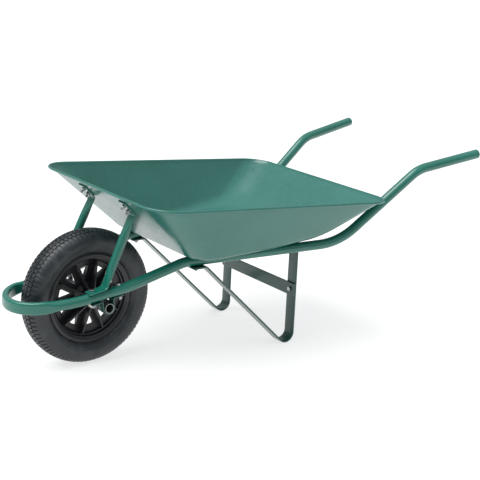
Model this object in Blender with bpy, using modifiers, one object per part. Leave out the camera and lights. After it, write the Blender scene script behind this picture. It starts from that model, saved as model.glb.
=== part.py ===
"""Builder's wheelbarrow: a pressed steel tray on a frame bent from one steel tube, with a pneumatic wheel.

+X points back to the handles, +Y to the right-hand side of someone pushing, +Z up.
The origin is on the ground, halfway along the length, in the middle of the width.
Distances called "behind the axle" are measured back from the wheel's axle.
"""
import math

import bmesh
import bpy
from mathutils import Matrix, Vector

# Driving dimensions, in metres.
WHEEL_RADIUS = 0.200
TUBE_RADIUS = 0.015
TUBE_WALL = 0.0015
NOSE_BEHIND = -0.2448
HANDLE_END_BEHIND = 1.257
HANDLE_REACH = 0.0062
FLAT_HEIGHT = 0.018
FLAT_THICKNESS = 0.010
AXLE_X = -(HANDLE_END_BEHIND + HANDLE_REACH + NOSE_BEHIND - FLAT_THICKNESS) / 2
GAP = 0.0003

# The frame tube's corners on one side: behind the axle, out from the middle, up, and the bend's radius.
HANDLE_END = (HANDLE_END_BEHIND, 0.307, 0.563)
HANDLE_BEND = (1.029, 0.278, 0.528)
REAR_BEND = (0.752, 0.238, 0.319)
FRONT_BEND = (0.235, 0.159, 0.3095)
RISE_BEND = (0.060, 0.129, 0.252)
LOOP_BEND = (-0.090, 0.113, 0.227)
NOSE_CORNER = (NOSE_BEHIND, 0.081, 0.214)
HANDLE_BEND_RADIUS = 0.12
REAR_BEND_RADIUS = 0.21
FRONT_BEND_RADIUS = 0.12
RISE_BEND_RADIUS = 0.30
LOOP_BEND_RADIUS = 0.50
FLAT_STARTS = -0.145
FLAT_ENDS = -0.185
FLAT_SQUARENESS = 3.2
FLAT_STATIONS = 5
TUBE_SIDES = 12
BEND_STEPS = 4
PLUG_RADIUS = 0.0130
PLUG_DEPTH = 0.020
PLUG_DOME = ((0.0, 0.0055), (0.0080, 0.0047), (0.0125, 0.0024))

# The tray.
SHEET = 0.0012
RIM_FRONT = (0.029, 0.335, 0.523)
RIM_REAR = (0.869, 0.333, 0.458)
RIM_FRONT_RADIUS = 0.085
RIM_REAR_RADIUS = 0.070
FLOOR_FRONT = (0.232, 0.240)
FLOOR_REAR = (0.700, 0.242)
FLOOR_FRONT_RADIUS = 0.065
FLOOR_REAR_RADIUS = 0.090
FLOOR_BEND_FRONT = 0.020
FLOOR_BEND_REAR = 0.085
LIP = ((0.0090, -0.0070), (0.0090, -0.0025), (0.0068, 0.0005), (0.0030, 0.0008), (0.0, -0.0020))
TRAY_CORNER_STEPS = 6
TRAY_SIDE_STEPS = 3
FLOOR_BLEND = (0.0, 0.25, 0.5, 0.75, 1.0)
FLOOR_CLEAR = 0.72
FRONT_TRAY_BOLT = 0.271
REAR_TRAY_BOLT = 0.604

# Axle and wheel.
AXLE_RADIUS = 0.015
AXLE_BORE = 0.012
AXLE_HALF = 0.136
HUB_RADIUS = 0.027
HUB_HALF = 0.050
BUSH_RADIUS = 0.019
BUSH_LENGTH = 0.030
WEB_HALF = 0.003
WINDOWS = 10
WHEEL_STEPS = 32
BUSH_BORE = 0.0154
BUSH_FLANGE = 0.002
BUSH_FLANGE_RADIUS = 0.024
SPACER_RADIUS = 0.019
SPACER_BORE = 0.0155
SLEEVE_STEPS = 20
RIB_THICKNESS = 0.004
RIB_INNER = 0.024
RIB_OUTER = 0.111
RIB_HUB_HALF = 0.040
RIB_RIM_HALF = 0.012
RIB_START = 0.1
WINDOW_INNER = 0.048
WINDOW_OUTER = 0.096
WINDOW_SWING = 0.19
RIM_OUTSIDE = ((0.1130, -0.010), (0.1205, -0.014), (0.1215, -0.026), (0.1340, -0.028), (0.1340, -0.031))
RIM_INSIDE = ((0.1290, -0.031), (0.1180, -0.0275), (0.1170, -0.013), (0.1095, -0.009), (0.1095, -WEB_HALF),
              (HUB_RADIUS, -WEB_HALF), (HUB_RADIUS, -HUB_HALF))
TYRE_OUTSIDE = ((0.1990, 0.013), (0.1955, 0.026), (0.1880, 0.0365), (0.1760, 0.0432), (0.1610, 0.0450),
                (0.1470, 0.0412), (0.1385, 0.0340), (0.1345, 0.0276), (0.1222, 0.0258), (0.1222, 0.0165))
TYRE_LINING = ((0.1320, 0.0185), (0.1400, 0.0290), (0.1480, 0.0360), (0.1610, 0.0395), (0.1740, 0.0380),
               (0.1840, 0.0320), (0.1900, 0.0220), (0.1930, 0.0110))
TREAD = 0.006
INNER_TUBE_MIDDLE = 0.162
INNER_TUBE_TALL = 0.025
INNER_TUBE_WIDE = 0.031
INNER_TUBE_SIDES = 10
INNER_TUBE_STEPS = 24
INNER_TUBE_HOLLOW = 0.88
VALVE_INNER = 0.085
VALVE_OUTER = 0.150
VALVE_SIDE = 0.011
VALVE_GUIDE = 0.105
VALVE_TURN = RIB_START + math.pi / WINDOWS
VALVE_RADIUS = 0.004
VALVE_CAP = 0.010
VALVE_CAP_RADIUS = 0.0045

# Straps, stays and fasteners.
STRAP = 0.005
STRAP_WIDTH = 0.040
LEG_SIDE = 0.168
LEG_BACK = 0.634
FOOT_BEND = 0.0275
BRACE_HEIGHT = 0.168
BRACE_CLEAR = 0.145
LEG_TAB_FRONT = 0.250
LEG_TAB_KNEE = 0.294
LEG_TAB_BEND = 0.010
LEG_TOP_TAB = 0.052
LEG_TOP_BEND = 0.008
STAY_RADIUS = 0.0125
STAY_FLAT = 0.018
STAY_THIN = 0.0025
STAY_SQUARENESS = 3.0
STAY_SIDES = 10
STAY_BEND_STEPS = 3
BOLT = 0.004
HOLE = 0.0046
HEAD = 0.0075
HEAD_HEIGHT = 0.0053
NUT_HEIGHT = 0.0065
BOLT_TAIL = 0.004
STAY_BOLT_LENGTH = 0.022
BOLT_DOME = ((0.0, 0.0042), (0.0040, 0.0038), (0.0075, 0.0022), (0.0092, 0.0))
BOLT_STEPS = 10
ROUND_SIDES = 12
DRILL_REACH = 0.030
STAY_WALL = 0.0015
STAY_TOP_SIDE = 0.113
STAY_TAB = 0.052
STAY_TAB_CLEAR = 0.028
STAY_BOLT_ROWS = (0.016, 0.038)
STAY_FOOT_FRONT = -0.060
STAY_FOOT_KNEE = -0.008
STAY_BEND = 0.014
STAY_PINCH = 0.32
STAY_STEPS = 3
SADDLE = 0.004
SADDLE_WIDTH = 0.026
SADDLE_SIDE = 0.121
SADDLE_BEND = 0.005
SADDLE_EAR = 0.012
SADDLE_FRONT_BOLT = -0.044
SADDLE_REAR_BOLT = 0.034
STRAP_BEND_STEPS = 5

SIDES = (("left", -1), ("right", 1))
AXLE = Vector((AXLE_X, 0, WHEEL_RADIUS))
RUN_SLOPE = (REAR_BEND[2] - FRONT_BEND[2]) / (REAR_BEND[0] - FRONT_BEND[0])
FLOOR_UP = Vector((-RUN_SLOPE, 0, 1)).normalized()


# ---------------------------------------------------------------- scene, materials and small helpers

for old in list(bpy.data.objects):
    bpy.data.objects.remove(old, do_unlink=True)

parts = bpy.data.collections.new("wheelbarrow")
cutters = bpy.data.collections.new("cutters")
bpy.context.scene.collection.children.link(parts)
bpy.context.scene.collection.children.link(cutters)


def material(name, colour, roughness, metallic=0.0):
    made = bpy.data.materials.new(name)
    made.use_nodes = True
    shader = made.node_tree.nodes["Principled BSDF"]
    shader.inputs["Base Color"].default_value = (*colour, 1.0)
    shader.inputs["Roughness"].default_value = roughness
    shader.inputs["Metallic"].default_value = metallic
    return made


GREEN = material("green_paint", (0.020, 0.165, 0.115), 0.35)
TYRE = material("tyre_rubber", (0.030, 0.030, 0.034), 0.75)
TUBE_RUBBER = material("inner_tube_rubber", (0.012, 0.012, 0.012), 0.6)
PLASTIC = material("rim_plastic", (0.018, 0.017, 0.019), 0.5)
BUSH = material("bush_nylon", (0.75, 0.74, 0.70), 0.5)
ZINC = material("zinc_plate", (0.62, 0.63, 0.64), 0.35, 1.0)
STEEL = material("axle_steel", (0.45, 0.46, 0.47), 0.4, 1.0)
BRASS = material("valve_brass", (0.65, 0.48, 0.20), 0.35, 1.0)


def behind(point):
    """A point whose x is given behind the axle, in the part's own frame."""
    return Vector((AXLE_X + point[0], point[1], point[2]))


def mirrored(point, side):
    return Vector((point[0], side * point[1], point[2]))


def add(name, mesh, finish, collection=parts):
    made = bpy.data.objects.new(name, mesh)
    collection.objects.link(made)
    if finish:
        mesh.materials.append(finish)
    return made


def from_bmesh(name, shape, finish, collection=parts, smooth=True):
    bmesh.ops.recalc_face_normals(shape, faces=shape.faces)
    mesh = bpy.data.meshes.new(name)
    shape.to_mesh(mesh)
    shape.free()
    if smooth:
        mesh.shade_smooth()
        mesh.set_sharp_from_angle(angle=math.radians(40))
    return add(name, mesh, finish, collection)


def apply_modifiers(made):
    """Replaces an object's mesh, or a curve object, by the mesh its modifiers give."""
    evaluated = made.evaluated_get(bpy.context.evaluated_depsgraph_get())
    mesh = bpy.data.meshes.new_from_object(evaluated)
    shape = bmesh.new()
    shape.from_mesh(mesh)
    bmesh.ops.remove_doubles(shape, verts=shape.verts, dist=0.00001)
    bmesh.ops.recalc_face_normals(shape, faces=shape.faces)
    shape.to_mesh(mesh)
    shape.free()
    name, place = made.name, made.matrix_world.copy()
    homes = list(made.users_collection)
    bpy.data.objects.remove(made, do_unlink=True)
    fresh = bpy.data.objects.new(name, mesh)
    fresh.matrix_world = place
    for home in homes:
        home.objects.link(fresh)
    mesh.shade_smooth()
    mesh.set_sharp_from_angle(angle=math.radians(40))
    return fresh


def turned(name, profile, centre, axis, finish, steps=WHEEL_STEPS, closed=True):
    """A profile of (radius, height) points, top to bottom down its outer side, turned about an axis."""
    mesh = bpy.data.meshes.new(name)
    points = [(radius, 0.0, height) for radius, height in profile]
    edges = [(i, i + 1) for i in range(len(points) - 1)]
    if closed:
        edges.append((len(points) - 1, 0))
    mesh.from_pydata(points, edges, [])
    made = add(name, mesh, finish)
    screw = made.modifiers.new("turn", "SCREW")
    screw.axis = "Z"
    screw.steps = steps
    screw.render_steps = steps
    screw.use_merge_vertices = True
    screw.merge_threshold = 0.00001
    screw.use_smooth_shade = True
    made.rotation_mode = "QUATERNION"
    made.rotation_quaternion = Vector((0, 0, 1)).rotation_difference(Vector(axis))
    made.location = centre
    bpy.context.view_layer.update()
    return made


def cylinder(name, radius, start, end, finish=None, sides=ROUND_SIDES, collection=cutters):
    """A closed cylinder between two points."""
    start, end = Vector(start), Vector(end)
    shape = bmesh.new()
    bmesh.ops.create_cone(shape, cap_ends=True, segments=sides, radius1=radius, radius2=radius,
                          depth=(end - start).length)
    turn = Vector((0, 0, 1)).rotation_difference(end - start).to_matrix().to_4x4()
    bmesh.ops.transform(shape, matrix=Matrix.Translation((start + end) / 2) @ turn, verts=shape.verts)
    made = from_bmesh(name, shape, finish, collection)
    if collection is cutters:
        made.hide_render = True
        made.display_type = "WIRE"
    return made


def combine(made, other, operation="DIFFERENCE"):
    """Cuts or joins two objects with a Boolean and keeps the result."""
    step = made.modifiers.new(operation.lower(), "BOOLEAN")
    step.operation = operation
    step.object = other
    step.solver = "EXACT"
    result = apply_modifiers(made)
    bpy.data.objects.remove(other, do_unlink=True)
    return result


def drill(made, holes, radius=HOLE):
    """Drills round holes, each given by a point and a direction, the same distance either way."""
    for point, direction in holes:
        reach = Vector(direction).normalized() * DRILL_REACH
        made = combine(made, cylinder("drill", radius, Vector(point) - reach, Vector(point) + reach))
    return made


def rounded(corners, radii, steps, closed=False):
    """A polyline through corners, each rounded by an arc of its radius in its own plane."""
    points = []
    count = len(corners)
    for i, corner in enumerate(corners):
        corner = Vector(corner)
        if not closed and i in (0, count - 1):
            points.append(corner)
            continue
        back = (Vector(corners[i - 1]) - corner).normalized()
        ahead = (Vector(corners[(i + 1) % count]) - corner).normalized()
        half = back.angle(ahead) / 2
        reach = radii[i] / math.tan(half)
        centre = corner + (back + ahead).normalized() * radii[i] / math.sin(half)
        first = corner + back * reach - centre
        last = corner + ahead * reach - centre
        sweep = first.angle(last)
        for step in range(steps + 1):
            share = step / steps
            mix = first * math.sin((1 - share) * sweep) + last * math.sin(share * sweep)
            points.append(centre + mix / math.sin(sweep))
    return points


def smoothstep(value):
    value = min(max(value, 0.0), 1.0)
    return value * value * (3 - 2 * value)


def blend(low, high, share):
    return low + (high - low) * share


def loft_tube(name, path, sections, axes, wall, finish, sides=TUBE_SIDES):
    """A hollow tube, open at both ends. Each section is a half width, a half height and a squareness."""
    shape = bmesh.new()
    rings = []
    for i, (point, section) in enumerate(zip(path, sections)):
        tangent = (path[min(i + 1, len(path) - 1)] - path[max(i - 1, 0)]).normalized()
        up, side = axes(tangent)
        half_width, half_height, squareness = section
        fullest = math.cos(math.pi / sides) ** (2 / squareness)
        pair = []
        for inset in (0.0, wall):
            ring = []
            for k in range(sides):
                angle = 2 * math.pi * (k + 0.5) / sides
                c, s = math.cos(angle), math.sin(angle)
                flat = math.copysign(abs(c) ** (2 / squareness), c) / fullest * (half_width - inset)
                tall = math.copysign(abs(s) ** (2 / squareness), s) / fullest * (half_height - inset)
                ring.append(shape.verts.new(point + side * flat + up * tall))
            pair.append(ring)
        rings.append(pair)
    for here, there in zip(rings, rings[1:]):
        for skin in (0, 1):
            for k in range(sides):
                n = (k + 1) % sides
                shape.faces.new((here[skin][k], here[skin][n], there[skin][n], there[skin][k]))
    for outer, inner in (rings[0], rings[-1]):
        for k in range(sides):
            n = (k + 1) % sides
            shape.faces.new((outer[k], outer[n], inner[n], inner[k]))
    return from_bmesh(name, shape, finish)


def level_axes(tangent):
    """Upward and sideways directions of a section whose width lies level."""
    side = tangent.cross(Vector((0, 0, 1))).normalized()
    return side.cross(tangent).normalized(), side


def crosswise_axes(tangent):
    """Upward and sideways directions of a section whose width lies across the barrow."""
    side = (Vector((0, 1, 0)) - tangent * tangent.y).normalized()
    return side.cross(tangent).normalized(), side


def strap(name, centreline, width, thickness, side_y, finish):
    """A flat bar bent about the Y axis: its edge outline in the XZ plane, extruded across its width."""
    left, right = [], []
    for i, point in enumerate(centreline):
        tangent = (centreline[min(i + 1, len(centreline) - 1)] - centreline[max(i - 1, 0)]).normalized()
        normal = Vector((-tangent.z, 0, tangent.x))
        left.append(point + normal * thickness / 2)
        right.append(point - normal * thickness / 2)
    outline = [(p.x, p.z) for p in left + right[::-1]]
    return plate(name, [outline], width, finish, Matrix.Translation((0, side_y, 0)) @ upright())


def upright():
    """Turns a flat outline drawn as (x, y) into the XZ plane."""
    return Matrix.Rotation(math.pi / 2, 4, "X")


def plate(name, outlines, thickness, finish, place):
    """A flat outline, with any holes as further outlines, given its thickness either side of its plane."""
    flat = bpy.data.curves.new(name, "CURVE")
    flat.dimensions = "2D"
    flat.fill_mode = "BOTH"
    flat.extrude = thickness / 2
    for outline in outlines:
        spline = flat.splines.new("POLY")
        spline.points.add(len(outline) - 1)
        for at, (x, y) in zip(spline.points, outline):
            at.co = (x, y, 0, 1)
        spline.use_cyclic_u = True
    flat.materials.append(finish)
    made = bpy.data.objects.new(name, flat)
    parts.objects.link(made)
    made.matrix_world = place
    bpy.context.view_layer.update()
    return apply_modifiers(made)


def circle(radius, sides, start=0.0):
    turn = 2 * math.pi / sides
    return [(radius * math.cos(start + k * turn), radius * math.sin(start + k * turn)) for k in range(sides)]


def facing(point, direction):
    """A placement at a point whose Z axis looks along a direction."""
    turn = Vector((0, 0, 1)).rotation_difference(Vector(direction)).to_matrix().to_4x4()
    return Matrix.Translation(point) @ turn


def hex_bolt(name, seat, direction, length):
    """A hexagon-head bolt: seat is the middle of the face under its head, and it points along direction."""
    direction = Vector(direction).normalized()
    middle = seat - direction * HEAD_HEIGHT / 2
    head = plate(name, [circle(HEAD, 6)], HEAD_HEIGHT, ZINC, facing(middle, direction))
    shank = cylinder("shank", BOLT, middle, seat + direction * length)
    return combine(head, shank, "UNION")


def carriage_bolt(name, seat, direction, length):
    """A bolt with a low domed head, turned in one piece."""
    profile = BOLT_DOME + ((BOLT, 0.0), (BOLT, -length), (0.0, -length))
    return turned(name, profile, seat, -Vector(direction).normalized(), ZINC, steps=BOLT_STEPS, closed=False)


def nut(name, seat, direction):
    """A hexagon nut resting on seat, with its far face along direction."""
    direction = Vector(direction).normalized()
    middle = seat + direction * (GAP + NUT_HEIGHT / 2)
    outlines = [circle(HEAD, 6), circle(HOLE, ROUND_SIDES)]
    return plate(name, outlines, NUT_HEIGHT, ZINC, facing(middle, direction))


# ---------------------------------------------------------------- frame tube and its end plugs

HALF = (HANDLE_END, HANDLE_BEND, REAR_BEND, FRONT_BEND, RISE_BEND, LOOP_BEND, NOSE_CORNER)
nose_back = Vector(LOOP_BEND) - Vector(NOSE_CORNER)
nose_radius = NOSE_CORNER[1] * math.tan(nose_back.angle(Vector((0, -1, 0))) / 2)
RADII = (0, HANDLE_BEND_RADIUS, REAR_BEND_RADIUS, FRONT_BEND_RADIUS, RISE_BEND_RADIUS, LOOP_BEND_RADIUS,
         nose_radius)


def side_path(side):
    """The tube's centreline from one handle's end to the middle of the nose."""
    corners = [behind(mirrored(corner, side)) for corner in HALF]
    corners.append(behind((NOSE_BEHIND, 0.0, NOSE_CORNER[2])))
    path = rounded(corners, RADII + (0,), BEND_STEPS)
    return path[:-1]


def tube_section(point):
    flat = smoothstep((FLAT_STARTS - (point.x - AXLE_X)) / (FLAT_STARTS - FLAT_ENDS))
    return (blend(TUBE_RADIUS, FLAT_THICKNESS, flat), blend(TUBE_RADIUS, FLAT_HEIGHT, flat),
            blend(2.0, FLAT_SQUARENESS, flat))


def tube_at(distance, side):
    """The centre and running direction of the tube at a distance behind the axle."""
    path = side_path(side)
    for back, front in zip(path, path[1:]):
        if front.x <= AXLE_X + distance <= back.x:
            share = (AXLE_X + distance - front.x) / (back.x - front.x)
            return front.lerp(back, share), (back - front).normalized()
    raise ValueError("no tube there")


def frame_stations():
    """The whole centreline, handle to handle, with extra points where the tube is pressed flat."""
    bare = side_path(-1) + side_path(1)[-2::-1]
    path = []
    for here, there in zip(bare, bare[1:]):
        low, high = sorted((here.x - AXLE_X, there.x - AXLE_X))
        pressed = low < FLAT_STARTS and high > FLAT_ENDS and high - low > 2 * TUBE_RADIUS
        pieces = FLAT_STATIONS if pressed else 1
        path += [here.lerp(there, k / pieces) for k in range(pieces)]
    return path + [bare[-1]]


def top_of_tube(distance, side):
    """The tube's top line at a distance behind the axle, and the direction up out of it there."""
    centre, along = tube_at(distance, side)
    up = Vector((-along.z, 0, along.x)).normalized()
    return centre, up


stations = frame_stations()
frame = loft_tube("frame_tube", stations, map(tube_section, stations), level_axes, TUBE_WALL, GREEN)
drilled = []
for side_name, side in SIDES:
    for distance in (SADDLE_FRONT_BOLT, SADDLE_REAR_BOLT):
        drilled.append(top_of_tube(distance, side))
    drilled.append((tube_at(FRONT_TRAY_BOLT, side)[0], FLOOR_UP))
frame = drill(frame, drilled)

for side_name, side in SIDES:
    end = behind(mirrored(HANDLE_END, side))
    along = (end - behind(mirrored(HANDLE_BEND, side))).normalized()
    plug = PLUG_DOME + ((TUBE_RADIUS, GAP), (PLUG_RADIUS, GAP), (PLUG_RADIUS, -PLUG_DEPTH),
                        (0.0, -PLUG_DEPTH))
    turned("handle_plug_" + side_name, plug, end, along, GREEN, steps=TUBE_SIDES, closed=False)


# ---------------------------------------------------------------- tray

def rim_height(distance):
    share = (distance - RIM_FRONT[0]) / (RIM_REAR[0] - RIM_FRONT[0])
    return blend(RIM_FRONT[2], RIM_REAR[2], share)


def floor_height(distance):
    """The top of the tray's floor, whose sheet lies on the frame's two long runs."""
    share = (distance - FRONT_BEND[0]) / (REAR_BEND[0] - FRONT_BEND[0])
    return blend(FRONT_BEND[2], REAR_BEND[2], share) + TUBE_RADIUS + GAP + SHEET


def outline(front, rear, front_radius, rear_radius):
    """A rounded outline seen from above, behind the axle, with the same points whatever its size."""
    corners = [(rear[0], rear[1], 0), (front[0], front[1], 0), (front[0], -front[1], 0),
               (rear[0], -rear[1], 0)]
    radii = (rear_radius, front_radius, front_radius, rear_radius)
    arcs = rounded(corners, radii, TRAY_CORNER_STEPS, closed=True)
    points = []
    for i, point in enumerate(arcs):
        points.append(point)
        if i % (TRAY_CORNER_STEPS + 1) == TRAY_CORNER_STEPS:
            ahead = arcs[(i + 1) % len(arcs)]
            points += [point.lerp(ahead, k / TRAY_SIDE_STEPS) for k in range(1, TRAY_SIDE_STEPS)]
    return points


def tray_rings():
    """Rings of points from the edge of the lip, over the rim, down the wall and on to the floor.

    The last ring bounds the middle of the floor, which is clear of the bolts and is one flat face.
    """
    rim = outline(RIM_FRONT[:2], RIM_REAR[:2], RIM_FRONT_RADIUS, RIM_REAR_RADIUS)
    knuckle = outline(FLOOR_FRONT, FLOOR_REAR, FLOOR_FRONT_RADIUS, FLOOR_REAR_RADIUS)
    count = len(rim)
    outward = []
    for i in range(count):
        along = (rim[(i + 1) % count] - rim[i - 1]).normalized()
        outward.append(Vector((along.y, -along.x, 0)))
    rings = []
    for reach, rise in LIP:
        ring = []
        for point, out in zip(rim, outward):
            at = point + out * reach
            ring.append(Vector((at.x, at.y, rim_height(at.x) + rise)))
        rings.append(ring)
    middle = Vector(((FLOOR_FRONT[0] + FLOOR_REAR[0]) / 2, 0, 0))
    for share in FLOOR_BLEND:
        ring = []
        for i in range(count):
            top = rings[len(LIP) - 1][i]
            knee = Vector((knuckle[i].x, knuckle[i].y, floor_height(knuckle[i].x)))
            rearward = smoothstep((knee.x - middle.x) / (FLOOR_REAR[0] - middle.x))
            bend = blend(FLOOR_BEND_FRONT, FLOOR_BEND_REAR, rearward)
            upper = knee + (top - knee).normalized() * bend
            along = (knuckle[(i + 1) % count] - knuckle[i - 1]).normalized()
            inner = knee - Vector((along.y, -along.x, 0)) * bend
            inner.z = floor_height(inner.x)
            ring.append(upper * (1 - share) ** 2 + knee * 2 * share * (1 - share) + inner * share ** 2)
        rings.append(ring)
    middle.z = floor_height(middle.x)
    rings.append([middle.lerp(inner, FLOOR_CLEAR) for inner in rings[-1]])
    return rings


shape = bmesh.new()
rings = [[shape.verts.new(behind(point)) for point in ring] for ring in tray_rings()]
for upper, lower in zip(rings, rings[1:]):
    for i in range(len(upper)):
        n = (i + 1) % len(upper)
        shape.faces.new((upper[i], upper[n], lower[n], lower[i]))
shape.faces.new(rings[-1])
bmesh.ops.recalc_face_normals(shape, faces=shape.faces)
if max(shape.faces, key=lambda face: face.calc_area()).normal.z < 0:
    bmesh.ops.reverse_faces(shape, faces=shape.faces)
mesh = bpy.data.meshes.new("tray")
shape.to_mesh(mesh)
shape.free()
tray = add("tray", mesh, GREEN)
skin = tray.modifiers.new("sheet", "SOLIDIFY")
skin.thickness = SHEET
skin.offset = -1
tray = apply_modifiers(tray)


PANEL_FOOT = Vector((FLOOR_FRONT[0], 0, floor_height(FLOOR_FRONT[0])))
PANEL_TOP = Vector((RIM_FRONT[0], 0, RIM_FRONT[2] + LIP[-1][1]))
PANEL_UP = (PANEL_TOP - PANEL_FOOT).normalized()
PANEL_OUT = Vector((-PANEL_UP.z, 0, PANEL_UP.x))


def panel_point(along, out, side_y):
    """A point on the tray's front panel: along it from its foot, and out from its inner face."""
    point = PANEL_FOOT + PANEL_UP * along + PANEL_OUT * out
    return behind((point.x, side_y, point.z))


STAY_KNEE = (PANEL_TOP - PANEL_FOOT).length - STAY_TAB - STAY_TAB_CLEAR
STAY_BOLTS = (STAY_KNEE + STAY_BOLT_ROWS[0], STAY_KNEE + STAY_BOLT_ROWS[1])

holes = []
for side_name, side in SIDES:
    holes += [(panel_point(along, 0, side * STAY_TOP_SIDE), PANEL_OUT) for along in STAY_BOLTS]
    holes.append((tube_at(FRONT_TRAY_BOLT, side)[0] + FLOOR_UP * TUBE_RADIUS, FLOOR_UP))
    holes.append((behind((REAR_TRAY_BOLT, side * LEG_SIDE, floor_height(REAR_TRAY_BOLT))), FLOOR_UP))
tray = drill(tray, holes)


# ---------------------------------------------------------------- front stays

for side_name, side in SIDES:
    foot = []
    for distance in (STAY_FOOT_FRONT, STAY_FOOT_KNEE):
        centre, up = top_of_tube(distance, side)
        foot.append(centre + up * (TUBE_RADIUS + GAP + STAY_THIN))
    foot[0].y = foot[1].y = side * SADDLE_SIDE
    out = SHEET + GAP + STAY_THIN
    knee = panel_point(STAY_KNEE, out, side * STAY_TOP_SIDE)
    tip = panel_point(STAY_KNEE + STAY_TAB, out, side * STAY_TOP_SIDE)
    corners = (foot[0], foot[1], knee, tip)
    bent = rounded(corners, (0, STAY_BEND, STAY_BEND, 0), STAY_BEND_STEPS)
    tabbed = STAY_BEND_STEPS + 2
    lower, upper = foot[1].lerp(knee, STAY_PINCH), foot[1].lerp(knee, 1 - STAY_PINCH)
    path, sections = [], []
    thin = (STAY_FLAT, STAY_THIN, STAY_SQUARENESS)
    full = (STAY_RADIUS, STAY_RADIUS, 2.0)
    for point in bent[:tabbed]:
        path.append(point)
        sections.append(thin)
    for k in range(1, STAY_STEPS + 1):
        path.append(bent[tabbed - 1].lerp(lower, k / STAY_STEPS))
        sections.append([blend(a, b, smoothstep(k / STAY_STEPS)) for a, b in zip(thin, full)])
    for k in range(STAY_STEPS):
        path.append(upper.lerp(bent[tabbed], k / STAY_STEPS))
        sections.append([blend(a, b, smoothstep(k / STAY_STEPS)) for a, b in zip(full, thin)])
    for point in bent[tabbed:]:
        path.append(point)
        sections.append(thin)
    stay = loft_tube("front_stay_" + side_name, path, sections, crosswise_axes, STAY_WALL, GREEN,
                     sides=STAY_SIDES)
    holes = [(panel_point(along, 0, side * STAY_TOP_SIDE), PANEL_OUT) for along in STAY_BOLTS]
    centre, up = top_of_tube(SADDLE_FRONT_BOLT, side)
    drill(stay, holes + [(centre + up * TUBE_RADIUS, up)])


# ---------------------------------------------------------------- axle, saddles and spacers

turned("axle_tube", [(AXLE_RADIUS, AXLE_HALF), (AXLE_RADIUS, -AXLE_HALF), (AXLE_BORE, -AXLE_HALF),
                     (AXLE_BORE, AXLE_HALF)], AXLE, (0, 1, 0), STEEL)

for side_name, side in SIDES:
    middle, along = tube_at(0.0, side)
    along = Vector((along.x, 0, along.z)).normalized()
    down = Vector((along.z, 0, -along.x))
    ear = TUBE_RADIUS + GAP + SADDLE / 2
    drop = (AXLE - middle).dot(down)
    shift = (AXLE - middle).dot(along)
    reach = AXLE_RADIUS + GAP + SADDLE / 2
    origin = Vector((middle.x, 0, middle.z))
    profile = ((SADDLE_FRONT_BOLT - SADDLE_EAR, ear), (shift - reach, ear), (shift - reach, drop + reach),
               (shift + reach, drop + reach), (shift + reach, ear), (SADDLE_REAR_BOLT + SADDLE_EAR, ear))
    corners = [origin + along * u + down * d for u, d in profile]
    bent = rounded(corners, (0, SADDLE_BEND, reach - 0.00001, reach - 0.00001, SADDLE_BEND, 0),
                   STRAP_BEND_STEPS)
    saddle = strap("axle_saddle_" + side_name, bent, SADDLE_WIDTH, SADDLE, side * SADDLE_SIDE, GREEN)
    drill(saddle, [top_of_tube(distance, side) for distance in (SADDLE_FRONT_BOLT, SADDLE_REAR_BOLT)])
    near, far = HUB_HALF + 3 * GAP + BUSH_FLANGE, SADDLE_SIDE - SADDLE_WIDTH / 2 - GAP
    turned("axle_spacer_" + side_name, [(SPACER_RADIUS, far), (SPACER_RADIUS, near), (SPACER_BORE, near),
                                        (SPACER_BORE, far)], AXLE, (0, side, 0), STEEL, steps=SLEEVE_STEPS)


# ---------------------------------------------------------------- wheel

lower_half = RIM_OUTSIDE + RIM_INSIDE + ((BUSH_RADIUS + GAP, -HUB_HALF),)
upper_half = tuple((radius, -height) for radius, height in lower_half[::-1])
rim = turned("wheel_rim", lower_half + upper_half, AXLE, (0, 1, 0), PLASTIC)
rim = apply_modifiers(rim)


def prisms(name, outlines):
    """Several flat prisms, each an outline and the depth it is raised by, as one cutter object."""
    shape = bmesh.new()
    for points, depth in outlines:
        face = shape.faces.new([shape.verts.new(point) for point in points])
        raised = bmesh.ops.extrude_face_region(shape, geom=[face])
        moved = [item for item in raised["geom"] if isinstance(item, bmesh.types.BMVert)]
        bmesh.ops.translate(shape, verts=moved, vec=depth)
    made = from_bmesh(name, shape, None, cutters, smooth=False)
    made.hide_render = True
    made.display_type = "WIRE"
    return made


def in_wheel(radius, turn, height):
    """A point of the wheel: out from the axle, round it, and along it."""
    return AXLE + Vector((radius * math.cos(turn), height, radius * math.sin(turn)))


ribs, windows = [], []
for k in range(WINDOWS):
    turn = 2 * math.pi * k / WINDOWS + RIB_START
    sideways = Vector((-math.sin(turn), 0, math.cos(turn))) * RIB_THICKNESS
    corners = ((RIB_INNER, RIB_HUB_HALF), (RIB_OUTER, RIB_RIM_HALF), (RIB_OUTER, -RIB_RIM_HALF),
               (RIB_INNER, -RIB_HUB_HALF))
    points = [in_wheel(r, turn, h) - sideways / 2 for r, h in corners]
    ribs.append((points, sideways))
    middle = turn + math.pi / WINDOWS
    corners = ((WINDOW_INNER, middle), (WINDOW_OUTER, middle - WINDOW_SWING),
               (WINDOW_OUTER, middle + WINDOW_SWING))
    points = [in_wheel(radius, corner, -2 * WEB_HALF) for radius, corner in corners]
    windows.append((points, Vector((0, 4 * WEB_HALF, 0))))
rim = combine(rim, prisms("ribs", ribs), "UNION")
rim = combine(rim, prisms("windows", windows), "DIFFERENCE")

outside = TYRE_OUTSIDE[::-1] + ((WHEEL_RADIUS, 0.0),) + tuple((r, -h) for r, h in TYRE_OUTSIDE)
inside = tuple((r, -h) for r, h in TYRE_LINING) + ((WHEEL_RADIUS - TREAD, 0.0),) + TYRE_LINING[::-1]
turned("tyre", outside + inside, AXLE, (0, 1, 0), TYRE)

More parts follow.
